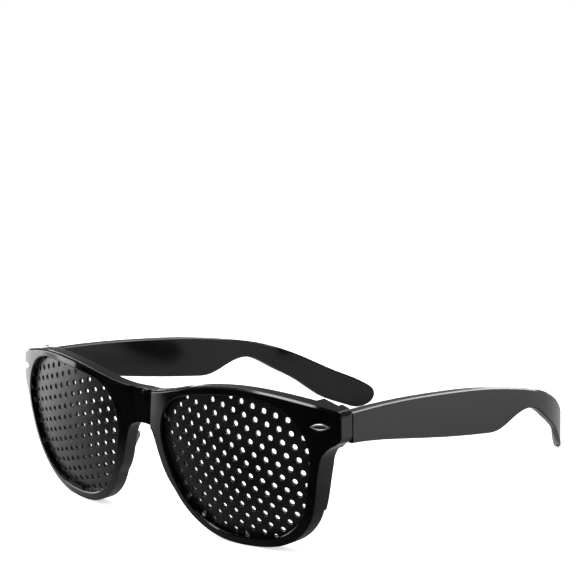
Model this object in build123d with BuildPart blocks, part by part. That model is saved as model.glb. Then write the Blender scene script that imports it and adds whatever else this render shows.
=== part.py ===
from build123d import *
from math import atan2, ceil, cos, hypot, radians, sin, sqrt
import os

os.makedirs("parts", exist_ok=True)

# Pinhole glasses, in millimetres. X runs across the face, Y from the front
# towards the ears, and Z up. The glasses stand open on a table at Z = 0, on the
# lower edges of both rims and on the tips of both side arms.

# Lens openings and rims
lens_width = 53.3
lens_height = 44.1
bridge_gap = 21.0
rim_wall = 2.8
brow_wall = 2.5
lens_radius = 95.0
bow_across = 101.0
bow_upright = 91.0
bow_wide = 20.0
bow_tall = 20.0
wrap_angle = 7.9
lens_tilt = 6.7

# Perforated plates
plate_thickness = 1.0
hole_radius = 0.83
hole_pitch = 4.06
hole_angle = 15.2
hole_shift_x = 0.4
hole_shift_z = -3.8
hole_web = 0.3
hole_sides = 6

# How the plates sit in the rims
plate_recess = 2.0
back_lip = 1.3
groove_depth = 1.3
plate_clearance = 0.05

# End pieces, where the front turns back to the side arms
end_reach = 8.6
end_height = 9.0
end_fall = 0.8
end_depth = 15.2
end_shelf = 9.0
corner_round = 2.0
brow_bevel = 0.6
opening_bevel = 0.4

# Bridge and moulded nose pads
panel_width = 10.0
panel_taper = 3.8
panel_setback = 1.3
ramp_angle = 38.0
pad_length = 20.4
pad_reach = 8.4
pad_wall = 2.2
pad_root = 1.5
pad_splay = 24.0

# Side arms
arm_wall = 3.6
tip_wall = 3.0
seam_gap = 0.4
tip_reach = 159.6
bend_start = 105.0
arm_taper = 4.0
tip_inset = 27.4
tip_radius = 5.2
root_height = 9.2
arm_bevel = 0.5

# Hinges
knuckle_radius = 1.4
knuckle_height = 1.6
knuckle_gap = 0.1
turning_gap = 0.3
screw_radius = 0.6
screw_clearance = 0.05
head_radius = 1.1
head_height = 0.5
slot_width = 0.35
screw_tail = 0.3
tongue_width = 1.8
tongue_length = 5.4
leaf_wall = 0.9
leaf_length = 9.0
leaf_clearance = 0.05

# Silver ornaments on the end pieces
ornament_length = 6.1
ornament_width = 2.1
ornament_wall = 0.7
ornament_sunk = 0.35
ornament_border = 0.35
ornament_hollow = 0.25
ornament_inset = 4.9
ornament_drop = 4.3
post_radius = 0.4
post_length = 1.6
post_spacing = 2.4

# One overrun for every cut
overrun = 10.0

# Outlines, as shares of the sizes that they follow.
# Lens edge: shares of half the opening's width and height, from its middle.
lens_shares = (
    (1.0, 0.11), (0.955, 0.574), (0.72, 0.89), (0.137, 1.0), (-0.433, 0.923),
    (-0.82, 0.76), (-1.0, 0.36), (-0.93, -0.13), (-0.70, -0.65),
    (-0.33, -0.945), (0.13, -0.995), (0.60, -0.86), (0.86, -0.53),
)
# Brow line: shares of half the front's width and of its height.
brow_shares = ((0.0, 0.877), (0.283, 0.949), (0.634, 1.0), (1.0, 0.903))
# Nose side: shares of the lens middle's distances from the mid-plane and the table.
nose_shares = (
    (0.43, 0.38), (0.293, 0.672), (0.213, 0.946), (0.164, 1.155),
    (0.118, 1.265), (0.0, 1.30),
)
# Curve under the end piece: shares of its reach past the rim and of its drop.
under_end_share = (0.31, 0.37)
# Side arm's lower edge and hook: shares of the arm's length and of the root's height
# over the table.
arm_lower_shares = (
    (0.476, 0.518), (0.514, 0.507), (0.549, 0.525), (0.591, 0.568), (0.632, 0.600),
    (0.664, 0.596), (0.690, 0.557), (0.736, 0.461), (0.819, 0.292), (0.885, 0.116),
)
arm_upper_shares = (
    (0.193, 0.968), (0.317, 0.927), (0.483, 0.854), (0.615, 0.769), (0.733, 0.662),
    (0.850, 0.482), (0.927, 0.333), (0.972, 0.247),
)

# Places worked out from the sizes
lens_x = bridge_gap / 2 + lens_width / 2
lens_z = rim_wall + lens_height / 2
half_front = lens_x + lens_width / 2 + end_reach
front_top = lens_z + lens_height / 2 + brow_wall
rim_side = lens_x + lens_width / 2 + rim_wall
face_radius = lens_radius + plate_recess
back_radius = lens_radius - plate_thickness - back_lip
w = radians(wrap_angle)
t = radians(lens_tilt)
# The forward-most point of the front lies on the brow above the ball's middle.
ball_dx = lens_radius * sin(w) * cos(t)
ball_dy = lens_radius * cos(w) * cos(t)
ball_dz = lens_radius * sin(t)
brow_over_ball = lens_shares[4][1] * lens_height / 2 - ball_dz
front_reach = sqrt(face_radius**2 - brow_over_ball**2) - ball_dy
lens_y = (front_reach - tip_reach) / 2
ball_middle = (lens_x - ball_dx, lens_y + ball_dy, lens_z + ball_dz)
lens_plane = Plane(
    origin=(lens_x, lens_y, lens_z),
    x_dir=(cos(w), sin(w), 0),
    z_dir=(sin(w) * cos(t), -cos(w) * cos(t), -sin(t)),
)
seam_y = lens_y + end_depth
end_top = brow_shares[-1][1] * front_top
end_bottom = end_top - end_height
root_top = end_top - end_fall
root_bottom = root_top - root_height
arm_inner = half_front - arm_wall
hinge_x = arm_inner - knuckle_radius - turning_gap
hinge_z = (root_top + root_bottom) / 2
arm_length = tip_reach - end_depth


def lens_edge(grow):
    """Points of the lens edge, moved outwards by grow."""
    return [
        (lens_x + sx * (lens_width / 2 + grow), lens_z + sz * (lens_height / 2 + grow))
        for sx, sz in lens_shares
    ]


def lens_shell(grow, ahead, behind):
    """The lens outline, grown, as a bowed sheet from ahead of the lens's face to behind it.

    Upright arcs stand fanned out about an upright axis behind the face, and a loft
    through them gives a sheet that is bowed both ways.
    """
    tall = radians(bow_tall)
    radii = (bow_upright + ahead, bow_upright - behind)
    with BuildPart() as shell:
        for fan_share in (-1, -0.5, 0, 0.5, 1):
            fan = radians(bow_wide) * fan_share
            out = lens_plane.z_dir * cos(fan) + lens_plane.x_dir * sin(fan)
            seat = lens_plane.origin + (out - lens_plane.z_dir) * bow_across - out * bow_upright
            rim = [(r * cos(a), r * sin(a)) for r in radii for a in (-tall, 0, tall)]
            with BuildSketch(Plane(origin=seat, x_dir=out, z_dir=out.cross(lens_plane.y_dir))):
                with BuildLine():
                    Spline(*rim[:3])
                    Line(rim[2], rim[5])
                    Spline(*rim[:2:-1])
                    Line(rim[3], rim[0])
                make_face()
        loft()
        with BuildSketch(Plane.XZ.offset(-seam_y)):
            with BuildLine():
                Spline(*lens_edge(grow), periodic=True)
            make_face()
        extrude(amount=end_depth + overrun, mode=Mode.INTERSECT)
    return shell.part


def vesica(length, width):
    """Half the side of a pointed oval: the arc's middle and ends."""
    return (-length / 2, 0), (0, width / 2), (length / 2, 0)


# Right perforated plate: a bowed sheet with a slanted field of pinholes
with BuildSketch(Plane.XY) as hole_field:
    with BuildLine():
        Spline(*lens_edge(groove_depth - plate_clearance - hole_radius - hole_web), periodic=True)
    make_face()
field_face = hole_field.sketch.faces()[0]
row_a = (-hole_pitch * cos(radians(hole_angle)), hole_pitch * sin(radians(hole_angle)))
row_b = (
    -hole_pitch * cos(radians(hole_angle + 60)),
    hole_pitch * sin(radians(hole_angle + 60)),
)
rows = ceil(lens_width / hole_pitch)
hole_seats = []
for i in range(-rows, rows + 1):
    for j in range(-rows, rows + 1):
        u = hole_shift_x + i * row_a[0] + j * row_b[0]
        v = hole_shift_z + i * row_a[1] + j * row_b[1]
        turn = hypot(u, v) / lens_radius
        spin = atan2(v, u)
        out = (
            lens_plane.x_dir * (sin(turn) * cos(spin))
            + lens_plane.y_dir * (sin(turn) * sin(spin))
            + lens_plane.z_dir * cos(turn)
        )
        spot = Vector(*ball_middle) + out * lens_radius
        if out.Y < 0 and field_face.is_inside(Vector(spot.X, spot.Z, 0)):
            hole_seats.append((spot - out * (2 * plate_thickness), out))
print("holes in each plate", len(hole_seats))


def hole_planes(side):
    """A plane square to the sheet at each hole, for the right side (1) or the left (-1)."""
    return [
        Plane(
            origin=(side * seat.X, seat.Y, seat.Z),
            x_dir=(cos(w), side * sin(w), 0),
            z_dir=(side * out.X, out.Y, out.Z),
        )
        for seat, out in hole_seats
    ]


plate_blank = lens_shell(groove_depth - plate_clearance, 0, plate_thickness)
with BuildPart() as right_plate:
    add(plate_blank)
    with BuildSketch(*hole_planes(1)):
        RegularPolygon(hole_radius, hole_sides)
    extrude(amount=plate_thickness * 3, mode=Mode.SUBTRACT, clean=False)
right_plate.part.label = "right_plate"

with BuildPart() as left_plate:
    add(mirror(plate_blank, about=Plane.YZ))
    with BuildSketch(*hole_planes(-1)):
        RegularPolygon(hole_radius, hole_sides)
    extrude(amount=plate_thickness * 3, mode=Mode.SUBTRACT, clean=False)
left_plate.part.label = "left_plate"

# The plate's groove in the rim
groove = lens_shell(groove_depth, plate_clearance, plate_thickness + plate_clearance)

# What is hollowed out behind the front, round the solid end piece
shelf_y = seam_y - knuckle_radius - turning_gap - seam_gap / 2
with BuildPart() as behind:
    with Locations(ball_middle):
        Sphere(back_radius)
    with BuildSketch(Plane.XY.offset(-overrun)):
        with BuildLine():
            Polyline(
                (half_front + overrun, lens_y - overrun),
                (half_front + overrun, seam_y - seam_gap / 2),
                (arm_inner, seam_y - seam_gap / 2),
                (arm_inner, shelf_y),
                (half_front - end_shelf, shelf_y),
                (half_front - end_shelf, lens_y - overrun),
                close=True,
            )
        make_face()
    extrude(amount=front_top + 2 * overrun, mode=Mode.SUBTRACT)

# Ornament's seat on the end piece's front face
orn_x = half_front - ornament_inset
orn_z = end_top - ornament_drop
orn_y = ball_middle[1] - sqrt(
    face_radius**2 - (orn_x - ball_middle[0]) ** 2 - (orn_z - ball_middle[2]) ** 2
)
orn_out = Vector(orn_x, orn_y, orn_z) - Vector(*ball_middle)
orn_plane = Plane(
    origin=(orn_x, orn_y, orn_z),
    x_dir=(-orn_out.Y, orn_out.X, 0),
    z_dir=orn_out,
)

# Right hinge leaf in the end piece: one knuckle with a buried tongue
hinge_low = hinge_z - knuckle_height / 2


def front_leaf(clear, bore):
    with BuildPart() as leaf:
        with BuildSketch(Plane.XY.offset(hinge_low - clear)):
            with Locations((hinge_x, seam_y)):
                Circle(knuckle_radius + clear)
            with Locations((hinge_x, seam_y - tongue_length / 2)):
                Rectangle(tongue_width + 2 * clear, tongue_length + 2 * clear)
            with Locations((hinge_x, seam_y - tongue_length + leaf_wall / 2)):
                Rectangle(tongue_width + 2 * leaf_wall + 2 * clear, leaf_wall + 2 * clear)
        extrude(amount=knuckle_height + 2 * clear)
        if bore:
            with BuildSketch(Plane.XY.offset(hinge_low - overrun)):
                with Locations((hinge_x, seam_y)):
                    Circle(screw_radius + screw_clearance)
            extrude(amount=knuckle_height + 2 * overrun, mode=Mode.SUBTRACT)
    return leaf.part


with BuildPart() as right_front_leaf:
    add(front_leaf(0, True))
right_front_leaf.part.label = "right_front_leaf"

with BuildPart() as left_front_leaf:
    add(mirror(right_front_leaf.part, about=Plane.YZ))
left_front_leaf.part.label = "left_front_leaf"

# Right ornament: a pointed oval with a hollowed middle, on two posts
hollow_length = ornament_length - 5 * ornament_border
hollow_width = ornament_width - 2 * ornament_border
seat_length = ornament_length + 4 * plate_clearance
seat_width = ornament_width + 2 * plate_clearance
with BuildPart() as right_ornament:
    with BuildSketch(orn_plane.offset(-ornament_sunk)):
        with BuildLine():
            ThreePointArc(*vesica(ornament_length, ornament_width))
            ThreePointArc(*vesica(ornament_length, -ornament_width))
        make_face()
    extrude(amount=ornament_wall)
    with BuildSketch(orn_plane.offset(ornament_wall - ornament_sunk - ornament_hollow)):
        with BuildLine():
            ThreePointArc(*vesica(hollow_length, hollow_width))
            ThreePointArc(*vesica(hollow_length, -hollow_width))
        make_face()
    extrude(amount=overrun, mode=Mode.SUBTRACT)
    with BuildSketch(orn_plane.offset(-ornament_sunk)):
        with Locations((-post_spacing / 2, 0), (post_spacing / 2, 0)):
            Circle(post_radius)
    extrude(amount=-post_length)
right_ornament.part.label = "right_ornament"

with BuildPart() as left_ornament:
    add(mirror(right_ornament.part, about=Plane.YZ))
left_ornament.part.label = "left_ornament"

# The seat that the ornament needs in the frame
with BuildPart() as ornament_seat:
    with BuildSketch(orn_plane.offset(-ornament_sunk - plate_clearance)):
        with BuildLine():
            ThreePointArc(*vesica(seat_length, seat_width))
            ThreePointArc(*vesica(seat_length, -seat_width))
        make_face()
    extrude(amount=overrun)
    with BuildSketch(orn_plane.offset(-ornament_sunk)):
        with Locations((-post_spacing / 2, 0), (post_spacing / 2, 0)):
            Circle(post_radius + plate_clearance)
    extrude(amount=-post_length - plate_clearance)

# Front frame: the right half, mirrored, then the bridge's set-back panel
nose_top = [(sx * lens_x, sz * lens_z) for sx, sz in nose_shares]
nose_foot = Vector(nose_top[0][0], lens_y, nose_top[0][1])
nose_head = Vector(nose_top[3][0], lens_y, nose_top[3][1])
nose_down = (nose_foot - nose_head).normalized()
nose_side = Vector(-nose_down.Z, 0, nose_down.X)
pad_out = Vector(0, 1, 0) * cos(radians(pad_splay)) + nose_side * sin(radians(pad_splay))
pad_plane = Plane(
    origin=(nose_foot + nose_head) * 0.5 + Vector(0, pad_root, 0),
    x_dir=nose_down,
    z_dir=pad_out.cross(nose_down),
)
pad_side = 1 if pad_plane.z_dir.dot(nose_side) > 0 else -1
pad_up = 1 if pad_plane.y_dir.dot(pad_out) > 0 else -1

# The rim's ring stays under the brow line.
ring_squash = (lens_height + brow_wall) / (lens_height + 2 * rim_wall)
rim_edge = [
    (x, z if z < lens_z else lens_z + (z - lens_z) * ring_squash) for x, z in lens_edge(rim_wall)
]

# The panel between the rims lies behind their faces.
panel_y = (
    ball_middle[1] + panel_setback
    - sqrt(face_radius**2 - (ball_middle[0] - panel_width / 2) ** 2)
)
panel_foot = nose_top[-1][1] - rim_wall
panel_head = brow_shares[0][1] * front_top + rim_wall


def outer_corner(edge):
    return edge.bounding_box().min.X > half_front - arm_bevel and edge.center().Y < seam_y - corner_round


def brow_line(edge):
    span = edge.bounding_box()
    whole = span.min.X < arm_bevel and span.max.X > lens_x
    return whole and span.min.Z > lens_z and edge.center().Y < lens_y


with BuildPart() as front_frame:
    with BuildSketch(Plane.XZ.offset(-seam_y)):
        with BuildLine():
            brow = Spline(
                *[(sx * half_front, sz * front_top) for sx, sz in brow_shares],
                tangents=((1, 0), (1, -0.30)),
            )
            end_line = Line(brow @ 1, (half_front, end_bottom))
            rim_z = lens_z + lens_shares[0][1] * (lens_height / 2 + rim_wall)
            mid_end = (
                rim_side + under_end_share[0] * (half_front - rim_side),
                end_bottom - under_end_share[1] * (end_bottom - rim_z),
            )
            under = Spline(end_line @ 1, mid_end, (rim_side, rim_z), tangents=((-1, -0.35), (-0.1, -1)))
            inward = Polyline(under @ 1, (lens_x, lens_z), nose_top[0])
            nose = Spline(*nose_top, tangents=((-0.45, 1), (-1, 0)))
            Line(nose @ 1, brow @ 0)
        make_face()
        with BuildLine():
            Spline(*rim_edge, periodic=True)
        make_face()
    extrude(amount=end_depth + overrun)
    with Locations(ball_middle):
        Sphere(face_radius, mode=Mode.INTERSECT)
    fillet(front_frame.edges().filter_by(outer_corner), radius=corner_round)
    chamfer(front_frame.edges().filter_by(brow_line), length=brow_bevel)
    add(behind.part, mode=Mode.SUBTRACT)
    with BuildSketch(pad_plane):
        with BuildLine():
            ThreePointArc((-pad_length / 2, 0), (0, pad_up * pad_reach), (pad_length / 2, 0))
            Line((pad_length / 2, 0), (-pad_length / 2, 0))
        make_face()
    extrude(amount=pad_side * pad_wall)
    with BuildSketch(Plane.XZ.offset(-seam_y)):
        with BuildLine():
            Spline(*lens_edge(0), periodic=True)
        make_face()
    extrude(amount=end_depth + overrun, mode=Mode.SUBTRACT)
    rim_lines = front_frame.edges().filter_by(lambda edge: edge.length > 2 * lens_width)
    chamfer(rim_lines.sort_by(Axis.Y)[0], length=opening_bevel)
    add(groove, mode=Mode.SUBTRACT)
    add(ornament_seat.part, mode=Mode.SUBTRACT)
    add(front_leaf(leaf_clearance, False), mode=Mode.SUBTRACT)
    mirror(about=Plane.YZ)
    with BuildSketch(Plane.XZ.offset(-panel_y)):
        with BuildLine():
            Polyline(
                (panel_width / 2 - panel_taper / 2, panel_foot),
                (panel_width / 2, panel_head),
                (-panel_width / 2, panel_head),
                (panel_taper / 2 - panel_width / 2, panel_foot),
                close=True,
            )
        make_face()
    extrude(amount=overrun, taper=-ramp_angle, mode=Mode.SUBTRACT)
front_frame.part.label = "front_frame"

# Right hinge leaf in the side arm: two knuckles on a buried plate
leaf_low = hinge_z - 1.5 * knuckle_height - knuckle_gap
leaf_high = hinge_z + 1.5 * knuckle_height + knuckle_gap


def temple_leaf(clear, bore):
    with BuildPart() as leaf:
        for low in (leaf_low, leaf_high - knuckle_height):
            with BuildSketch(Plane.XY.offset(low - clear)):
                with Locations((hinge_x, seam_y)):
                    Circle(knuckle_radius + clear)
                with BuildLine():
                    Polyline(
                        (hinge_x, seam_y + turning_gap - clear),
                        (arm_inner + leaf_wall + clear, seam_y + turning_gap - clear),
                        (arm_inner + leaf_wall + clear, seam_y + 2 * knuckle_radius + clear),
                        (arm_inner, seam_y + 2 * knuckle_radius + clear),
                        (hinge_x, seam_y + knuckle_radius + clear),
                        close=True,
                    )
                make_face()
            extrude(amount=knuckle_height + 2 * clear)
        with BuildSketch(Plane.XY.offset(leaf_low - clear)):
            with Locations((arm_inner + leaf_wall / 2, seam_y + knuckle_radius + leaf_length / 2)):
                Rectangle(leaf_wall + 2 * clear, leaf_length + 2 * clear)
        extrude(amount=leaf_high - leaf_low + 2 * clear)
        if bore:
            with BuildSketch(Plane.XY.offset(leaf_low - overrun)):
                with Locations((hinge_x, seam_y)):
                    Circle(screw_radius + screw_clearance)
            extrude(amount=leaf_high - leaf_low + 2 * overrun, mode=Mode.SUBTRACT)
    return leaf.part


with BuildPart() as right_temple_leaf:
    add(temple_leaf(0, True))
right_temple_leaf.part.label = "right_temple_leaf"

with BuildPart() as left_temple_leaf:
    add(mirror(right_temple_leaf.part, about=Plane.YZ))
left_temple_leaf.part.label = "left_temple_leaf"

# Right hinge screw: a round head with a driver slot, and a shank through all knuckles
with BuildPart() as right_screw:
    with BuildSketch(Plane.XY.offset(leaf_low - screw_tail)):
        with Locations((hinge_x, seam_y)):
            Circle(screw_radius)
    extrude(amount=leaf_high - leaf_low + screw_tail + head_height)
    with BuildSketch(Plane.XY.offset(leaf_high)):
        with Locations((hinge_x, seam_y)):
            Circle(head_radius)
    extrude(amount=head_height)
    with BuildSketch(Plane.XY.offset(leaf_high + head_height / 2)):
        with Locations((hinge_x, seam_y)):
            Rectangle(2 * head_radius + overrun, slot_width)
    extrude(amount=overrun, mode=Mode.SUBTRACT)
right_screw.part.label = "right_screw"

with BuildPart() as left_screw:
    add(mirror(right_screw.part, about=Plane.YZ))
left_screw.part.label = "left_screw"

# Right side arm: its plan and its side view, crossed
arm_front = seam_y + seam_gap / 2
tip_y = lens_y + tip_reach
bend_y = lens_y + bend_start
# The plan runs on past the tip, along the chord of its bend, and the side view rounds it.
past_tip = (half_front - tip_inset - tip_wall, tip_y + tip_wall)
arm_z = root_top


def arm_spots(shares):
    return [(seam_y + sy * arm_length, sz * arm_z) for sy, sz in shares]


tip = CenterArc((tip_y - tip_radius, tip_radius), tip_radius, 40, -165)
lower = arm_spots(arm_lower_shares)
upper = arm_spots(arm_upper_shares)
root_corner = (arm_front, root_bottom)
halfway = ((arm_front + lower[0][0]) / 2, (root_bottom + lower[0][1]) / 2)
with BuildPart() as right_temple:
    with BuildSketch(Plane.XY.offset(-overrun)):
        with BuildLine():
            outer_run = Line((half_front, arm_front), (half_front - arm_taper, bend_y))
            outer_bend = TangentArc(outer_run @ 1, past_tip, tangent=outer_run % 1)
            tip_in = (outer_bend % 1).rotate(Axis.Z, 90) * tip_wall
            tip_line = Line(outer_bend @ 1, outer_bend @ 1 + tip_in)
            inner_run = Line((arm_inner, arm_front), (half_front - arm_taper - arm_wall, bend_y))
            TangentArc(inner_run @ 1, tip_line @ 1, tangent=inner_run % 1)
            Line(outer_run @ 0, inner_run @ 0)
        make_face()
    extrude(amount=front_top + 2 * overrun)
    with BuildSketch(Plane.YZ):
        with BuildLine():
            top = Spline((arm_front, root_top), *upper, tip @ 0, tip @ 0 + tip % 0 * overrun)
            low = Spline(root_corner, halfway, *lower, tip @ 1, tip @ 1 - tip % 1 * (2 * overrun))
            Line(top @ 0, low @ 0)
            Line(top @ 1, low @ 1)
        make_face()
    extrude(amount=half_front + overrun, mode=Mode.INTERSECT)
    long_edges = right_temple.edges().filter_by(lambda edge: edge.bounding_box().size.Y > end_depth)
    chamfer(long_edges, length=arm_bevel)
    with BuildSketch(Plane.YZ):
        with BuildLine():
            add(tip)
            Polyline(
                tip @ 0,
                ((tip @ 0).X, front_top),
                (arm_front - overrun, front_top),
                (arm_front - overrun, -overrun),
                ((tip @ 1).X, -overrun),
                tip @ 1,
            )
        make_face()
    extrude(amount=half_front + overrun, mode=Mode.INTERSECT)
    add(temple_leaf(leaf_clearance, False), mode=Mode.SUBTRACT)
right_temple.part.label = "right_temple"

with BuildPart() as left_temple:
    add(mirror(right_temple.part, about=Plane.YZ))
left_temple.part.label = "left_temple"

for piece in (
    front_frame, left_plate, right_plate, left_temple, right_temple,
    left_ornament, right_ornament, left_front_leaf, right_front_leaf,
    left_temple_leaf, right_temple_leaf, left_screw, right_screw,
):
    export_step(piece.part, "parts/" + piece.part.label + ".step")
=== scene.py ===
# %% [markdown]
# # Pinhole glasses, dressed around their CAD model
#
# The CAD model gives the exact places and the moving parts. This lesson gives it its
# looks: fine pinhole plates, silver ornaments, moulded plastic and brushed metal.
# Everything is in metres. X runs across the face, Y towards the ears and Z up.

from math import atan2, cos, hypot, pi, radians, sin, sqrt

import bpy
import numpy as np
from mathutils import Matrix, Vector
from mathutils.geometry import delaunay_2d_cdt


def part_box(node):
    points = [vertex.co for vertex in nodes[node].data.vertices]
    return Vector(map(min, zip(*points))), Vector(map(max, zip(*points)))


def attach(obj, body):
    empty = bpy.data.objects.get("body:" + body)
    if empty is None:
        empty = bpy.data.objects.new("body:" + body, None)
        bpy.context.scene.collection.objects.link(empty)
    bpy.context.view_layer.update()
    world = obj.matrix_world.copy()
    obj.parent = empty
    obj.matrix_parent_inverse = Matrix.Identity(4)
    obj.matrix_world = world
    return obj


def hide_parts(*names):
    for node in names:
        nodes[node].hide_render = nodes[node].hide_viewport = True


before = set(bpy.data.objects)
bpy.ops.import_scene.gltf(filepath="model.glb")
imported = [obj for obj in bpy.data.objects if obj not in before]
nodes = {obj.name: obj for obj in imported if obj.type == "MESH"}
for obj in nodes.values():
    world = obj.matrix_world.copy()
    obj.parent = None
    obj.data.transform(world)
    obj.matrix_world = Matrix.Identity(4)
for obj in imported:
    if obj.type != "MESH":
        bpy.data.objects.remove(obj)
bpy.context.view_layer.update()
scene = bpy.context.scene
scene.view_settings.view_transform = "Standard"
MM = 0.001
print("CAD nodes:", sorted(nodes))

# %% [markdown]
# ## The camera
#
# A photograph fixes where its camera stood: known points of the object and their
# places in the picture can be solved for the camera. The solved place, turn and focal
# length are typed in here, with no shift and no depth of field. The picture is square.

# %% Camera
CAMERA_AT = Vector((0.3559, -0.3859, 0.1522))
AZIMUTH = radians(43.61)
ELEVATION = radians(9.54)
ROLL = radians(-1.38)
FOCAL_IN_PIXELS = 1555.3
PICTURE_SIDE = 576
SENSOR_WIDTH = 36.0

back = Vector((sin(AZIMUTH) * cos(ELEVATION), -cos(AZIMUTH) * cos(ELEVATION), sin(ELEVATION)))
level = Vector((cos(AZIMUTH), sin(AZIMUTH), 0.0))
rise = back.cross(level)
across = level * cos(ROLL) + rise * sin(ROLL)
upward = rise * cos(ROLL) - level * sin(ROLL)

camera_data = bpy.data.cameras.new("camera")
camera_data.sensor_width = SENSOR_WIDTH
camera_data.lens = FOCAL_IN_PIXELS / PICTURE_SIDE * SENSOR_WIDTH
camera_data.clip_start = 0.01
camera = bpy.data.objects.new("camera", camera_data)
scene.collection.objects.link(camera)
camera.matrix_world = Matrix((
    (across.x, upward.x, back.x, CAMERA_AT.x),
    (across.y, upward.y, back.y, CAMERA_AT.y),
    (across.z, upward.z, back.z, CAMERA_AT.z),
    (0.0, 0.0, 0.0, 1.0),
))
scene.camera = camera
print("camera lens", round(camera_data.lens, 1), "mm")

# %% [markdown]
# ## Node materials
#
# Black plastic looks black only because of what it mirrors, so its finish lives in
# roughness, a faint moulding texture and softened edges. One small helper sets up a
# Principled shader, a noise that shades the colour, and a bump. The Bevel node rounds
# the light on sharp edges, the way a polished mould leaves them.

# %% Material helper
CLOUD_SCALE, CLOUD_DETAIL = 90.0, 3.0
DARK_AT, LIGHT_AT = 0.35, 0.7
SPECKLE_DETAIL = 2.0
EDGE_SAMPLES = 6


def link(tree, a, out, b, into):
    """Joins one socket to another."""
    tree.links.new(a.outputs[out], b.inputs[into])


def plastic(name, dark, light, roughness, grain, grain_depth, edge, specular=0.5):
    """A moulded plastic: two near tones, a fine grain and softened edges."""
    material = bpy.data.materials.new(name)
    material.use_nodes = True
    tree = material.node_tree
    shader = tree.nodes["Principled BSDF"]
    shader.inputs["Metallic"].default_value = 0.0
    shader.inputs["Specular IOR Level"].default_value = specular
    place = tree.nodes.new("ShaderNodeTexCoord")
    clouds = tree.nodes.new("ShaderNodeTexNoise")
    clouds.inputs["Scale"].default_value = CLOUD_SCALE
    clouds.inputs["Detail"].default_value = CLOUD_DETAIL
    link(tree, place, "Object", clouds, "Vector")
    tones = tree.nodes.new("ShaderNodeValToRGB")
    tones.color_ramp.elements[0].position = DARK_AT
    tones.color_ramp.elements[0].color = (*dark, 1.0)
    tones.color_ramp.elements[1].position = LIGHT_AT
    tones.color_ramp.elements[1].color = (*light, 1.0)
    link(tree, clouds, "Fac", tones, "Fac")
    link(tree, tones, "Color", shader, "Base Color")
    polish = tree.nodes.new("ShaderNodeMapRange")
    polish.inputs["To Min"].default_value = roughness[0]
    polish.inputs["To Max"].default_value = roughness[1]
    link(tree, clouds, "Fac", polish, "Value")
    link(tree, polish, "Result", shader, "Roughness")
    speckle = tree.nodes.new("ShaderNodeTexNoise")
    speckle.inputs["Scale"].default_value = grain
    speckle.inputs["Detail"].default_value = SPECKLE_DETAIL
    link(tree, place, "Object", speckle, "Vector")
    soft_edge = tree.nodes.new("ShaderNodeBevel")
    soft_edge.samples = EDGE_SAMPLES
    soft_edge.inputs["Radius"].default_value = edge
    bump = tree.nodes.new("ShaderNodeBump")
    bump.inputs["Strength"].default_value = 1.0
    bump.inputs["Distance"].default_value = grain_depth
    link(tree, speckle, "Fac", bump, "Height")
    link(tree, soft_edge, "Normal", bump, "Normal")
    link(tree, bump, "Normal", shader, "Normal")
    return material


# %% [markdown]
# ## The finishes
#
# The front and the arms are polished black, the arms a shade duller. The plates are
# satin with a fine grain, like a spark-eroded mould, and the pins of that mould leave
# the walls of the holes smoother than the sheet.

# %% Plastics
FINE_GRAIN, MOULD_GRAIN, ENAMEL_GRAIN = 900.0, 2600.0, 3000.0
POLISHED_DEPTH, SATIN_DEPTH = 0.000004, 0.00002
frame_gloss = plastic(
    "frame_gloss", dark=(0.0014, 0.0014, 0.0016), light=(0.0030, 0.0030, 0.0034),
    roughness=(0.05, 0.11), grain=FINE_GRAIN, grain_depth=POLISHED_DEPTH, edge=0.00035,
)
arm_gloss = plastic(
    "arm_gloss", dark=(0.0020, 0.0020, 0.0022), light=(0.0040, 0.0040, 0.0044),
    roughness=(0.07, 0.13), grain=FINE_GRAIN, grain_depth=POLISHED_DEPTH, edge=0.00035,
)
plate_satin = plastic(
    "plate_satin", dark=(0.004, 0.004, 0.0045), light=(0.009, 0.009, 0.010),
    roughness=(0.24, 0.32), grain=MOULD_GRAIN, grain_depth=SATIN_DEPTH, edge=0.00008,
)
hole_polish = plastic(
    "hole_polish", dark=(0.003, 0.003, 0.0035), light=(0.006, 0.006, 0.007),
    roughness=(0.10, 0.18), grain=MOULD_GRAIN, grain_depth=POLISHED_DEPTH, edge=0.00005,
    specular=1.0,
)
enamel = plastic(
    "slot_enamel", dark=(0.020, 0.014, 0.009), light=(0.050, 0.036, 0.022),
    roughness=(0.15, 0.25), grain=ENAMEL_GRAIN, grain_depth=POLISHED_DEPTH, edge=0.0001,
)
print("plastics:", [m.name for m in (frame_gloss, arm_gloss, plate_satin, hole_polish, enamel)])

# %% [markdown]
# ## Brushed metal
#
# Metal is a shader with Metallic at one. Long thin noise, stretched along one
# direction, gives the brush marks that break up its reflections.

# %% Metals
DULL_SHARE = 0.8
LINE_DETAIL = 4.0
LINE_DEPTH = 0.000004


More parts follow.
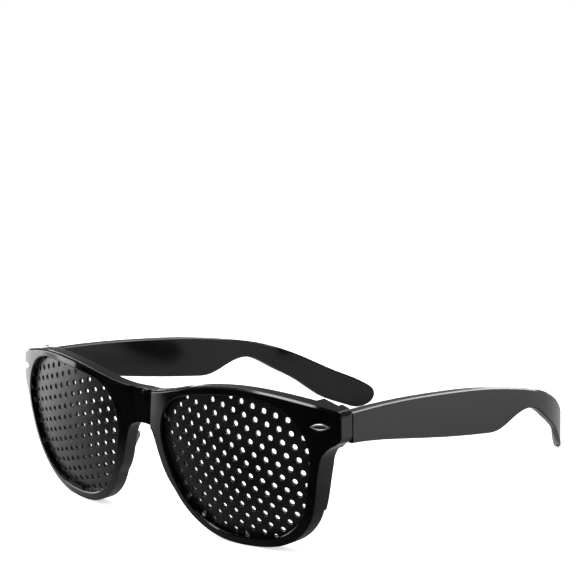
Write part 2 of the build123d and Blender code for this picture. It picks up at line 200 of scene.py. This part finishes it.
def metal(name, tone, roughness, stretch):
    """A brushed metal with fine lines along one direction."""
    material = bpy.data.materials.new(name)
    material.use_nodes = True
    tree = material.node_tree
    shader = tree.nodes["Principled BSDF"]
    shader.inputs["Metallic"].default_value = 1.0
    place = tree.nodes.new("ShaderNodeTexCoord")
    squeeze = tree.nodes.new("ShaderNodeMapping")
    squeeze.inputs["Scale"].default_value = stretch
    link(tree, place, "Object", squeeze, "Vector")
    lines = tree.nodes.new("ShaderNodeTexNoise")
    lines.inputs["Scale"].default_value = 1.0
    lines.inputs["Detail"].default_value = LINE_DETAIL
    link(tree, squeeze, "Vector", lines, "Vector")
    tones = tree.nodes.new("ShaderNodeValToRGB")
    tones.color_ramp.elements[0].color = (*[DULL_SHARE * c for c in tone], 1.0)
    tones.color_ramp.elements[1].color = (*tone, 1.0)
    link(tree, lines, "Fac", tones, "Fac")
    link(tree, tones, "Color", shader, "Base Color")
    polish = tree.nodes.new("ShaderNodeMapRange")
    polish.inputs["To Min"].default_value = roughness[0]
    polish.inputs["To Max"].default_value = roughness[1]
    link(tree, lines, "Fac", polish, "Value")
    link(tree, polish, "Result", shader, "Roughness")
    bump = tree.nodes.new("ShaderNodeBump")
    bump.inputs["Strength"].default_value = 1.0
    bump.inputs["Distance"].default_value = LINE_DEPTH
    link(tree, lines, "Fac", bump, "Height")
    link(tree, bump, "Normal", shader, "Normal")
    return material


silver = metal(
    "satin_silver", tone=(0.94, 0.93, 0.90), roughness=(0.30, 0.40), stretch=(600.0, 4000.0, 4000.0)
)
steel = metal(
    "hinge_steel", tone=(0.62, 0.62, 0.63), roughness=(0.24, 0.38), stretch=(2500.0, 2500.0, 500.0)
)
print("metals:", silver.name, steel.name)

# %% [markdown]
# ## Dress the CAD nodes
#
# Nodes whose shape is already right keep their mesh and only get a better finish, in
# the material slots that they came with.

# %% Finishes of the CAD nodes
FINISH_OF = {
    "front_frame": frame_gloss,
    "left_front_leaf": steel,
    "right_front_leaf": steel,
    "left_temple_leaf": steel,
    "right_temple_leaf": steel,
    "left_screw": steel,
    "right_screw": steel,
}
for name, finish in FINISH_OF.items():
    for material_slot in nodes[name].material_slots:
        material_slot.material = finish
print("dressed", len(FINISH_OF), "nodes")

# %% [markdown]
# ## The bowed sheet of a plate
#
# Each plate is one thin sheet, bowed both ways, with a slanted field of round holes.
# A flat pattern is drawn first, with the outline and each hole's ring of points. A
# Delaunay triangulation fills it, and then every point is bent onto the bow. This
# keeps the holes truly round, which a grid of square faces could not.

# %% Sizes of the plates
LENS_WIDTH = 53.3
LENS_HEIGHT = 44.1
LENS_X = 37.15
LENS_Z = 24.85
LENS_RADIUS = 95.0
BOW_ACROSS = 101.0
BOW_UPRIGHT = 91.0
WRAP = radians(7.9)
TILT = radians(6.7)
EDGE_THICKNESS = 1.0
PLATE_THICKNESS = 1.08
# Radius and depth down a hole's wall, which narrows from the front as it leaves the mould.
HOLE_WALL = (
    (1.02, 0.0), (0.97, 0.03), (0.93, 0.10), (0.87, 0.32), (0.84, 1.00), (0.92, 1.08),
)
MOUTH_RADIUS = HOLE_WALL[0][0]
HOLE_PITCH = 4.06
HOLE_TURN = radians(15.2)
HOLE_START = (0.4, -3.8)
# How far the sheet, and at most a hole's middle, reach past the visible lens outline.
EDGE_IN_GROOVE = 1.2
FIELD_IN_GROOVE = 0.12
LATTICE_REACH = 14
RING_POINTS = 18
RING_SPINS = [2 * pi * k / RING_POINTS for k in range(RING_POINTS)]
SPAN_STEPS = 12  # points on each span of the lens outline
BOW_ROUNDS = 12  # rounds of nearing the two bow angles of a point
LENS_SHARES = (
    (1.0, 0.11), (0.955, 0.574), (0.72, 0.89), (0.137, 1.0), (-0.433, 0.923),
    (-0.82, 0.76), (-1.0, 0.36), (-0.93, -0.13), (-0.70, -0.65),
    (-0.33, -0.945), (0.13, -0.995), (0.60, -0.86), (0.86, -0.53),
)
# The plate's CAD box says how far forward the lens's middle lies.
plate_low, plate_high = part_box("right_plate")

lens_right = np.array([cos(WRAP), sin(WRAP), 0.0])
lens_front = np.array([sin(WRAP) * cos(TILT), -cos(WRAP) * cos(TILT), -sin(TILT)])
lens_up = np.cross(lens_front, lens_right)


def on_sheet(a, b, depth):
    """A point of the sheet from its two bow angles, relative to the lens's middle, in mm."""
    out = lens_front * cos(a) + lens_right * sin(a)
    radius = BOW_UPRIGHT - depth
    return (
        (out - lens_front) * BOW_ACROSS - out * BOW_UPRIGHT
        + out * radius * cos(b) + lens_up * radius * sin(b)
    )


print("plate box in mm:", [round(v / MM, 2) for v in (*plate_low, *plate_high)])

# %% [markdown]
# ## The lens outline
#
# The CAD outline is a closed smooth curve through thirteen points. The same curve is
# worked out here: a periodic cubic has equal slopes where its pieces meet, which is a
# small set of linear equations.

# %% Closed smooth curve
def closed_curve(points, per_span):
    """Samples a periodic cubic through the points, spaced by chord length."""
    spots = np.array(points, float)
    count = len(spots)
    ahead = np.roll(spots, -1, axis=0)
    span = np.linalg.norm(ahead - spots, axis=1)
    rows = np.zeros((count, count))
    rhs = np.zeros_like(spots)
    for i in range(count):
        before, after = span[i - 1], span[i]
        rows[i, i - 1] += before
        rows[i, i] += 2 * (before + after)
        rows[i, (i + 1) % count] += after
        rhs[i] = 6 * ((ahead[i] - spots[i]) / after - (spots[i] - spots[i - 1]) / before)
    bend = np.linalg.solve(rows, rhs)
    made = []
    for i in range(count):
        j, h = (i + 1) % count, span[i]
        for step in range(per_span):
            t = h * step / per_span
            made.append(
                bend[i] * (h - t) ** 3 / (6 * h) + bend[j] * t**3 / (6 * h)
                + (spots[i] / h - bend[i] * h / 6) * (h - t)
                + (spots[j] / h - bend[j] * h / 6) * t
            )
    return np.array(made)


def lens_outline(grow):
    """The lens outline grown by so many mm, seen from the front, from the lens's middle."""
    half_wide, half_high = LENS_WIDTH / 2 + grow, LENS_HEIGHT / 2 + grow
    return closed_curve([(sx * half_wide, sz * half_high) for sx, sz in LENS_SHARES], SPAN_STEPS)


def to_bow(x, z):
    """The two bow angles of the sheet's point that is seen at x, z from the front."""
    a, b = x / BOW_ACROSS, z / BOW_UPRIGHT
    for _ in range(BOW_ROUNDS):
        here = on_sheet(a, b, 0.0)
        a += (x - here[0]) / BOW_ACROSS
        b += (z - here[2]) / BOW_UPRIGHT
    return a, b


def inside(point, ring):
    """Whether a flat point lies inside a closed ring of points."""
    x, y = point
    ahead = np.roll(ring, -1, axis=0)
    crossing = (ring[:, 1] > y) != (ahead[:, 1] > y)
    with np.errstate(divide="ignore", invalid="ignore"):
        run, climb = ahead[:, 0] - ring[:, 0], ahead[:, 1] - ring[:, 1]
        at = ring[:, 0] + (y - ring[:, 1]) * run / climb
    return bool(np.count_nonzero(crossing & (x < at)) % 2)


edge_seen = lens_outline(EDGE_IN_GROOVE)
edge_bows = [to_bow(x, z) for x, z in edge_seen]
edge_flat = np.array([(a * BOW_ACROSS, b * BOW_UPRIGHT) for a, b in edge_bows])
print("outline", np.round(edge_flat.min(0), 1), np.round(edge_flat.max(0), 1))

# %% [markdown]
# ## The field of holes
#
# The holes stand on a slanted triangular lattice that wraps round a ball. A hole is
# kept where it clears the groove of the rim.

# %% Hole places
field_seen = lens_outline(FIELD_IN_GROOVE)
step_a = (-HOLE_PITCH * cos(HOLE_TURN), HOLE_PITCH * sin(HOLE_TURN))
step_b = (-HOLE_PITCH * cos(HOLE_TURN + pi / 3), HOLE_PITCH * sin(HOLE_TURN + pi / 3))
hole_places = []
for i in range(-LATTICE_REACH, LATTICE_REACH + 1):
    for j in range(-LATTICE_REACH, LATTICE_REACH + 1):
        u = HOLE_START[0] + i * step_a[0] + j * step_b[0]
        v = HOLE_START[1] + i * step_a[1] + j * step_b[1]
        turn, spin = hypot(u, v) / LENS_RADIUS, atan2(v, u)
        out = (lens_right * cos(spin) + lens_up * sin(spin)) * sin(turn) + lens_front * cos(turn)
        spot = (out - lens_front) * LENS_RADIUS
        if out[1] < 0 and inside((spot[0], spot[2]), field_seen):
            a, b = to_bow(spot[0], spot[2])
            hole_places.append((a * BOW_ACROSS, b * BOW_UPRIGHT))
print("holes in each plate:", len(hole_places))

# %% [markdown]
# ## Fill the pattern and bend it
#
# The triangulation returns the hole discs too, so triangles whose middle lies in a
# hole are dropped. The front and back sheets share one pattern, and the sheet thins
# towards its outline, where the rim's groove holds it. A hole's wall is a short loft:
# wider at the mouth, with a drafted bore and a small chamfer at the back. Seen aslant,
# such a wall shows as the dark crescent inside each bright hole.

# %% Plate meshes
# Triangles that fill a hole's ring have their middle nearer to the hole than this share of
# its radius, and all others have it further off.
DISC_SHARE = 0.98
SAME_POINT = 1e-7
# Flat points round the nose side of the sheet, where its bow comes furthest forward.
SEARCH_ACROSS = np.linspace(-25, 5, 31)
SEARCH_UPWARD = np.linspace(-10, 18, 29)


def plate_pattern():
    """Flat points and triangles of the sheet, and the index rings of outline and holes."""
    flat = [Vector(p) for p in edge_flat]
    rings = [list(range(len(flat)))]
    for hole in hole_places:
        start = len(flat)
        for spin in RING_SPINS:
            flat.append(Vector((
                hole[0] + MOUTH_RADIUS * cos(spin), hole[1] + MOUTH_RADIUS * sin(spin)
            )))
        rings.append(list(range(start, len(flat))))
    edges = [(ring[k - 1], ring[k]) for ring in rings for k in range(len(ring))]
    spots, _, faces, _, _, _ = delaunay_2d_cdt(flat, edges, [], 0, SAME_POINT)
    centres = np.array(hole_places)
    kept = []
    for face in faces:
        middle = sum((spots[i] for i in face), Vector((0, 0))) / len(face)
        if np.hypot(*(centres - np.array(middle)).T).min() < DISC_SHARE * MOUTH_RADIUS:
            continue
        if inside(middle, edge_flat):
            kept.append(list(face))
    return spots, kept, rings


def build_plate(name, side):
    """Bends the pattern into one closed perforated sheet."""
    verts, faces, wall_faces, sharp = [], [], [], []
    count = len(pattern_spots)

    def add(point, depth):
        bent = on_sheet(point[0] / BOW_ACROSS, point[1] / BOW_UPRIGHT, depth)
        verts.append((
            (bent[0] + LENS_X) * side * MM, (bent[1] + LENS_Y) * MM, (bent[2] + LENS_Z) * MM
        ))
        return len(verts) - 1

    rim_count = len(pattern_rings[0])
    for front in (True, False):
        for k, spot in enumerate(pattern_spots):
            add(spot, 0.0 if front else EDGE_THICKNESS if k < rim_count else PLATE_THICKNESS)
    for face in pattern_faces:
        faces.append(face)
        faces.append([i + count for i in reversed(face)])
    outline = pattern_rings[0]
    for k in range(len(outline)):
        p, q = outline[k - 1], outline[k]
        faces.append([q, p, p + count, q + count])
        sharp += [(p, q), (p + count, q + count)]
    for hole, ring in zip(hole_places, pattern_rings[1:]):
        levels = [ring]
        for radius, depth in HOLE_WALL[1:-1]:
            levels.append([
                add((hole[0] + radius * cos(spin), hole[1] + radius * sin(spin)), depth)
                for spin in RING_SPINS
            ])
        levels.append([i + count for i in ring])
        for upper, lower in zip(levels, levels[1:]):
            for k in range(RING_POINTS):
                wall_faces.append([upper[k - 1], upper[k], lower[k], lower[k - 1]])
        for loop in (levels[0], levels[-1]):
            sharp += [(loop[k - 1], loop[k]) for k in range(RING_POINTS)]
    sheet_count = len(faces)
    faces += wall_faces
    if side < 0:
        faces = [list(reversed(face)) for face in faces]
    mesh = bpy.data.meshes.new(name)
    mesh.from_pydata(verts, [], faces)
    mesh.materials.append(plate_satin)
    mesh.materials.append(hole_polish)
    for face in list(mesh.polygons)[sheet_count:]:
        face.material_index = 1
    mesh.validate()
    mesh.update()
    wanted = {tuple(sorted(pair)) for pair in sharp}
    for edge in mesh.edges:
        edge.use_edge_sharp = tuple(sorted(edge.vertices)) in wanted
    mesh.shade_smooth()
    piece = bpy.data.objects.new(name, mesh)
    scene.collection.objects.link(piece)
    return piece


# The sheet's front face touches the plate's CAD box at its forward-most point.
edge_rows = [on_sheet(a / BOW_ACROSS, b / BOW_UPRIGHT, 0.0)[1] for a, b in edge_flat]
middle_rows = [
    on_sheet(a / BOW_ACROSS, b / BOW_UPRIGHT, 0.0)[1]
    for a in SEARCH_ACROSS for b in SEARCH_UPWARD if inside((a, b), edge_flat)
]
LENS_Y = plate_low.y / MM - min([*edge_rows, *middle_rows])
print("lens middle at y =", round(LENS_Y, 2), "mm")

pattern_spots, pattern_faces, pattern_rings = plate_pattern()
for side, word in ((1, "right"), (-1, "left")):
    plate = build_plate(word + "_pinhole_sheet", side)
    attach(plate, "front")
    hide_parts(word + "_plate")
    print(plate.name, len(plate.data.vertices), "points", len(plate.data.polygons), "faces")

# %% [markdown]
# ## The ornaments
#
# Each end piece carries a small silver eye: a pressed metal rim with two pointed ends
# round a dark enamel slit. Two arcs make the outline, and arcs about the same centres
# make every smaller ring of it, so the rim keeps one width all the way round. A list
# of (inset, height) pairs turns that outline into a rounded profile.

# %% Ornament shapes
ORNAMENT_LENGTH = 6.1
ORNAMENT_WIDTH = 2.1
ORNAMENT_AT = Vector((67.5, -71.47, 40.31))
BALL_MIDDLE = Vector((24.182, 15.206, 35.934))
RIM_PROFILE = (
    (0.00, -0.35), (0.00, 0.08), (0.04, 0.18), (0.12, 0.27), (0.22, 0.33), (0.32, 0.35),
    (0.42, 0.33), (0.50, 0.27), (0.55, 0.18), (0.57, 0.08), (0.57, -0.02),
)
SLIT_PROFILE = ((0.55, -0.02), (0.55, 0.08), (0.60, 0.11), (0.72, 0.13), (0.88, 0.14))
ARC_STEPS = 14
POSTS = (-1.2, 1.2)
POST_RADIUS = 0.4
POST_TOP, POST_END = -0.3, -1.95
POST_SIDES = 12
CREASE = radians(40)


def pointed_oval(inset):
    """A closed ring of flat points, inset from the ornament's outline by so many mm."""
    half_long, half_wide = ORNAMENT_LENGTH / 2, ORNAMENT_WIDTH / 2
    radius = (half_long**2 + half_wide**2) / (2 * half_wide)
    below = radius - half_wide
    end_angle = atan2(sqrt(max((radius - inset) ** 2 - below**2, 0.0)), below)
    ring = []
    for flip in (1, -1):
        for step in range(ARC_STEPS):
            turn = end_angle * (2 * step / ARC_STEPS - 1)
            reach = radius - inset
            ring.append((flip * reach * sin(turn), flip * (reach * cos(turn) - below)))
    return ring


def ornament_mesh(name, profile, side, finish, posts):
    """Lofts the rings of a profile and stands them on the end piece's face."""
    out = (ORNAMENT_AT - BALL_MIDDLE).normalized()
    along = Vector((-out.y, out.x, 0.0)).normalized()
    up = out.cross(along)
    verts, faces = [], []

    def add(x, y, z):
        spot = ORNAMENT_AT + along * x + up * y + out * z
        verts.append((spot.x * side * MM, spot.y * MM, spot.z * MM))
        return len(verts) - 1

    loops = [[add(x, y, height) for x, y in pointed_oval(inset)] for inset, height in profile]
    for lower, upper in zip(loops, loops[1:]):
        for k in range(len(lower)):
            faces.append([lower[k - 1], lower[k], upper[k], upper[k - 1]])
    faces += [list(loops[-1]), list(reversed(loops[0]))]
    for middle in posts:
        spins = [2 * pi * k / POST_SIDES for k in range(POST_SIDES)]
        top, foot = ([
            add(middle + POST_RADIUS * cos(s), POST_RADIUS * sin(s), height) for s in spins
        ] for height in (POST_TOP, POST_END))
        for k in range(POST_SIDES):
            faces.append([foot[k - 1], foot[k], top[k], top[k - 1]])
        faces += [list(top), list(reversed(foot))]
    if side > 0:
        faces = [list(reversed(face)) for face in faces]
    mesh = bpy.data.meshes.new(name)
    mesh.from_pydata(verts, [], faces)
    mesh.validate()
    mesh.shade_smooth()
    mesh.set_sharp_from_angle(angle=CREASE)
    mesh.materials.append(finish)
    piece = bpy.data.objects.new(name, mesh)
    scene.collection.objects.link(piece)
    return piece


for side, word in ((1, "right"), (-1, "left")):
    rim = ornament_mesh(word + "_ornament_rim", RIM_PROFILE, side, silver, POSTS)
    slit = ornament_mesh(word + "_ornament_enamel", SLIT_PROFILE, side, enamel, ())
    for piece in (rim, slit):
        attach(piece, "front")
        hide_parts(word + "_ornament")
    print(rim.name, len(rim.data.polygons), "faces;", slit.name, len(slit.data.polygons), "faces")

# %% [markdown]
# ## Slimmer hooks on the side arms
#
# The hook behind each arm's waist thins out towards its tip, and the waist is a soft
# arch. The arm's own mesh is copied and its points are moved a little: the inner face
# comes closer to the outer one, and the lower edge follows a smoothed version of its
# own curve. The outer face and the arm's length stay as they are.

# %% Side arms
# Pairs of y and z, and for the outer face of y and x, in mm, read off the arm's solid.
ARM_LOWER = (
    (-10.0, 19.3), (9.0, 20.9), (15.6, 22.8), (21.0, 24.5), (25.1, 25.7), (28.4, 26.3),
    (31.0, 26.4), (33.0, 26.1), (35.0, 25.3), (37.9, 23.6), (42.5, 20.6), (47.5, 17.6),
    (54.5, 13.3), (60.3, 8.5), (75.0, 0.1),
)
ARM_UPPER = (
    (-10.0, 40.3), (16.7, 35.6), (26.8, 33.4), (36.3, 31.1), (47.0, 27.4), (50.8, 25.2),
    (60.8, 19.9), (75.0, 12.0),
)
ARM_OUTER = (
    (15.5, 68.9), (26.8, 68.4), (32.3, 68.0), (37.9, 67.16), (42.9, 66.1), (48.0, 64.7),
    (52.7, 63.08), (58.0, 60.88), (63.5, 58.13), (68.6, 55.09), (73.2, 51.93), (77.2, 48.79),
    (81.4, 45.0),
)
WAIST_FROM, WAIST_TO, WAIST_FADE = 20.0, 44.0, 6.0
WAIST_SOFTNESS = 3.5
HOOK_FROM, HOOK_TO = 18.0, 70.0
HOOK_THINNING = 0.40
lower_y, lower_z = np.array(ARM_LOWER).T
upper_y, upper_z = np.array(ARM_UPPER).T
outer_y, outer_x = np.array(ARM_OUTER).T
# A bell of weights, three times its softness to either side, averages the lower edge.
bell_reach = np.linspace(-3.0, 3.0, 61) * WAIST_SOFTNESS
bell = np.exp(-0.5 * (bell_reach / WAIST_SOFTNESS) ** 2)


def smooth_step(value):
    """Rises smoothly from 0 to 1."""
    t = min(max(value, 0.0), 1.0)
    return t * t * (3 - 2 * t)


def slimmed(x, y, z):
    """The new place of an arm's point, in mm, for an arm on the right."""
    low, top = np.interp(y, lower_y, lower_z), np.interp(y, upper_y, upper_z)
    softened = np.dot(bell, np.interp(y + bell_reach, lower_y, lower_z)) / bell.sum()
    fade = smooth_step((y - WAIST_FROM) / WAIST_FADE) * smooth_step((WAIST_TO - y) / WAIST_FADE)
    z += fade * (softened - low) * min(max((top - z) / (top - low), 0.0), 1.0)
    if y > HOOK_FROM:
        outer = np.interp(y, outer_y, outer_x)
        thinned = HOOK_THINNING * smooth_step((y - HOOK_FROM) / (HOOK_TO - HOOK_FROM))
        x += max(outer - x, 0.0) * thinned
    return x, y, z


for word, side in (("right", 1), ("left", -1)):
    moulded = nodes[word + "_temple"]
    arm_mesh = moulded.data.copy()
    arm_mesh.transform(moulded.matrix_world)
    for vertex in arm_mesh.vertices:
        x, y, z = (value / MM for value in vertex.co)
        x, y, z = slimmed(x * side, y, z)
        vertex.co = (x * side * MM, y * MM, z * MM)
    arm_mesh.update()
    arm_mesh.materials.clear()
    arm_mesh.materials.append(arm_gloss)
    arm = bpy.data.objects.new(word + "_slim_arm", arm_mesh)
    scene.collection.objects.link(arm)
    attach(arm, word + "_arm")
    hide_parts(word + "_temple")
    print(arm.name, len(arm_mesh.vertices), "points")

# %% [markdown]
# ## The floor and the light
#
# The photograph is a packshot: white all round, with a dark room on the camera's side.
# The camera sees a white world and a white floor. What the gloss mirrors is another
# matter. Mirror rays meet a dim room behind the object and a black one in front, and
# they see the floor as it is lit, shadows included, in a colour that is painted for them:
# a painted reflection that is dark in front of the object, painted shade near the arms and
# painted light far behind on the left. That keeps the front black and gives the arms their
# grey shine.

# %% Stage
WHITE = (1.0, 1.0, 1.0, 1.0)
FLOOR_WHITE = (0.9, 0.9, 0.9, 1.0)
# The level of a place is set by how far it lies behind and to the left of the object.
BACK_AND_LEFT = (-0.45, 1.0, 0.0)
DARK_FRONT = 0.01
ROOM_LIGHT = 0.5
ROOM_IN_MIRROR = 0.28
ROOM_FADE = (-0.2, 0.1)
FLOOR_GLOW = 0.62
# Painted reflection: the floor's colour seen in mirrors rises from dark in front to this level
# behind.
FLOOR_IN_MIRROR = 0.76
FLOOR_FADE = (-0.12, -0.05)
# Painted light: the floor's colour seen in mirrors is raised in a far corner.
PAINTED_LIGHT_FADE = (0.17, 0.23)  # of the lit corner that the near hook mirrors
PAINTED_LIGHT_GAIN = 2.6
# Painted shade: the floor's colour seen in mirrors is darker near the middle, under the arms.
SHADE_FADE = (0.08, 0.16)  # distance from the middle, to either side
PAINTED_SHADE_LEVEL = 0.5


def link_new(tree, kind, **settings):
    """A new shader node with some of its inputs set."""
    node = tree.nodes.new(kind)
    for socket, value in settings.items():
        node.inputs[socket].default_value = value
    return node


def away_from_front(tree, source, socket, fade, low_level, high_level):
    """A level that changes smoothly from the object's front to behind and left of it."""
    slant = tree.nodes.new("ShaderNodeVectorMath")
    slant.operation = "DOT_PRODUCT"
    slant.inputs[1].default_value = BACK_AND_LEFT
    link(tree, source, socket, slant, 0)
    ramp = tree.nodes.new("ShaderNodeMapRange")
    ramp.interpolation_type = "SMOOTHSTEP"
    ramp.inputs["From Min"].default_value = fade[0]
    ramp.inputs["From Max"].default_value = fade[1]
    ramp.inputs["To Min"].default_value = low_level
    ramp.inputs["To Max"].default_value = high_level
    link(tree, slant, "Value", ramp, "Value")
    return ramp


def mixed(tree, rays, kind, first, second):
    """The second shader for one kind of ray, the first for all others."""
    mix = tree.nodes.new("ShaderNodeMixShader")
    link(tree, rays, kind, mix, "Fac")
    tree.links.new(first.outputs[0], mix.inputs[1])
    tree.links.new(second.outputs[0], mix.inputs[2])
    return mix


def multiplied(tree, first, second):
    """The product of two nodes' results."""
    product = tree.nodes.new("ShaderNodeMath")
    product.operation = "MULTIPLY"
    link(tree, first, 0, product, 0)
    link(tree, second, 0, product, 1)
    return product


world = bpy.data.worlds.new("studio")
scene.world = world
world.use_nodes = True
sky = world.node_tree
sky.nodes.clear()
sky_rays = sky.nodes.new("ShaderNodeLightPath")
room_light = link_new(sky, "ShaderNodeBackground", Strength=ROOM_LIGHT)
white_wall = link_new(sky, "ShaderNodeBackground", Strength=1.0)
for plain in (room_light, white_wall):
    plain.inputs["Color"].default_value = WHITE
mirrored_room = sky.nodes.new("ShaderNodeBackground")
look = sky.nodes.new("ShaderNodeTexCoord")
room_level = away_from_front(sky, look, "Generated", ROOM_FADE, DARK_FRONT, ROOM_IN_MIRROR)
link(sky, room_level, "Result", mirrored_room, "Strength")
sky_mix = mixed(sky, sky_rays, "Is Glossy Ray", room_light, mirrored_room)
sky_mix = mixed(sky, sky_rays, "Is Transmission Ray", sky_mix, white_wall)
sky_mix = mixed(sky, sky_rays, "Is Camera Ray", sky_mix, white_wall)
sky_out = sky.nodes.new("ShaderNodeOutputWorld")
link(sky, sky_mix, "Shader", sky_out, "Surface")

floor_paint = bpy.data.materials.new("white_floor")
floor_paint.use_nodes = True
paint = floor_paint.node_tree
paint.nodes.clear()
floor_rays = paint.nodes.new("ShaderNodeLightPath")
matte = paint.nodes.new("ShaderNodeBsdfDiffuse")
matte.inputs["Color"].default_value = FLOOR_WHITE
glow = link_new(paint, "ShaderNodeEmission", Strength=FLOOR_GLOW)
glowing = paint.nodes.new("ShaderNodeAddShader")
paint.links.new(glow.outputs[0], glowing.inputs[0])
paint.links.new(matte.outputs[0], glowing.inputs[1])
mirrored_floor = paint.nodes.new("ShaderNodeBsdfDiffuse")
where = paint.nodes.new("ShaderNodeTexCoord")
# Painted reflection: the floor's colour seen in mirrors is dark in front of the object and lighter
# behind it.
painted_reflection_level = away_from_front(paint, where, "Object", FLOOR_FADE, DARK_FRONT, FLOOR_IN_MIRROR)
# Close to the arms the floor's colour seen in mirrors is darkened, a painted shade of the arms.
apart = paint.nodes.new("ShaderNodeSeparateXYZ")
link(paint, where, "Object", apart, "Vector")
sideways = paint.nodes.new("ShaderNodeMath")
sideways.operation = "ABSOLUTE"
link(paint, apart, "X", sideways, 0)
shade = link_new(paint, "ShaderNodeMapRange", **{
    "From Min": SHADE_FADE[0], "From Max": SHADE_FADE[1], "To Min": PAINTED_SHADE_LEVEL, "To Max": 1.0
})
link(paint, sideways, "Value", shade, "Value")
# Far behind on the left the floor's colour seen in mirrors is raised, a painted light which the
# bent hook of the near arm mirrors.
painted_light_corner = away_from_front(paint, where, "Object", PAINTED_LIGHT_FADE, 1.0, PAINTED_LIGHT_GAIN)
# The painted reflection, painted light and painted shade together make the floor's colour in
# mirrors.
painted_floor_colour = multiplied(paint, multiplied(paint, painted_reflection_level, painted_light_corner), shade)
link(paint, painted_floor_colour, "Value", mirrored_floor, "Color")
floor_mix = mixed(paint, floor_rays, "Is Glossy Ray", matte, mirrored_floor)
floor_mix = mixed(paint, floor_rays, "Is Camera Ray", floor_mix, glowing)
paint_out = paint.nodes.new("ShaderNodeOutputMaterial")
link(paint, floor_mix, "Shader", paint_out, "Surface")

FLOOR_HALF = 6.0
floor_mesh = bpy.data.meshes.new("floor")
corners = ((-1, -1), (1, -1), (1, 1), (-1, 1))
floor_mesh.from_pydata(
    [(FLOOR_HALF * x, FLOOR_HALF * y, 0) for x, y in corners], [], [(0, 1, 2, 3)]
)
floor_mesh.materials.append(floor_paint)
floor = bpy.data.objects.new("floor", floor_mesh)
scene.collection.objects.link(floor)
print("stage ready")

# %% [markdown]
# ## The lamps
#
# A long soft box hangs from overhead down to the left. The bevels along the brow turn
# from one end of it to the other, so it draws the bright line that follows them. A
# panel on the left gives the far plate its satin sheen. A narrow strip above the camera
# catches the silver ornaments and the fine bevels of the openings. Two strips high
# behind the object draw the thin bright lines along the top bevels of the arms.

# %% Lamps
def soft_box(name, at, aim, along, size, radiance):
    """A rectangular area lamp that looks at a point, with its long side along a direction."""
    lamp = bpy.data.lights.new(name, "AREA")
    lamp.shape = "RECTANGLE"
    lamp.size, lamp.size_y = size
    lamp.energy = radiance * pi * size[0] * size[1]
    to_lamp = (Vector(at) - Vector(aim)).normalized()
    upright = to_lamp.cross(Vector(along)).normalized()
    side_way = upright.cross(to_lamp)
    thing = bpy.data.objects.new(name, lamp)
    thing.matrix_world = Matrix((
        (side_way.x, upright.x, to_lamp.x, at[0]),
        (side_way.y, upright.y, to_lamp.y, at[1]),
        (side_way.z, upright.z, to_lamp.z, at[2]),
        (0.0, 0.0, 0.0, 1.0),
    ))
    scene.collection.objects.link(thing)


soft_box(
    "long_box", at=(-0.40, -0.11, 0.67), aim=(0.0, -0.05, 0.03),
    along=(-0.63, 0.46, -0.62), size=(1.35, 0.15), radiance=11.0,
)
soft_box(
    "left_panel", at=(-0.48, -0.20, 0.12), aim=(-0.03, -0.07, 0.03),
    along=(0.0, 1.0, 0.0), size=(0.34, 0.22), radiance=4.2,
)
soft_box(
    "front_strip", at=(0.08, -0.75, 0.55), aim=(0.03, -0.07, 0.04),
    along=(1.0, 0.0, 0.0), size=(0.50, 0.10), radiance=8.0,
)
soft_box(
    "near_arm_strip", at=(0.175, 0.87, 0.50), aim=(0.07, 0.0, 0.04),
    along=(-0.15, 0.99, 0.0), size=(0.75, 0.06), radiance=7.0,
)
soft_box(
    "far_arm_strip", at=(-0.01, 0.60, 0.50), aim=(-0.065, 0.0, 0.04),
    along=(-0.15, 0.98, 0.0), size=(0.55, 0.06), radiance=5.0,
)
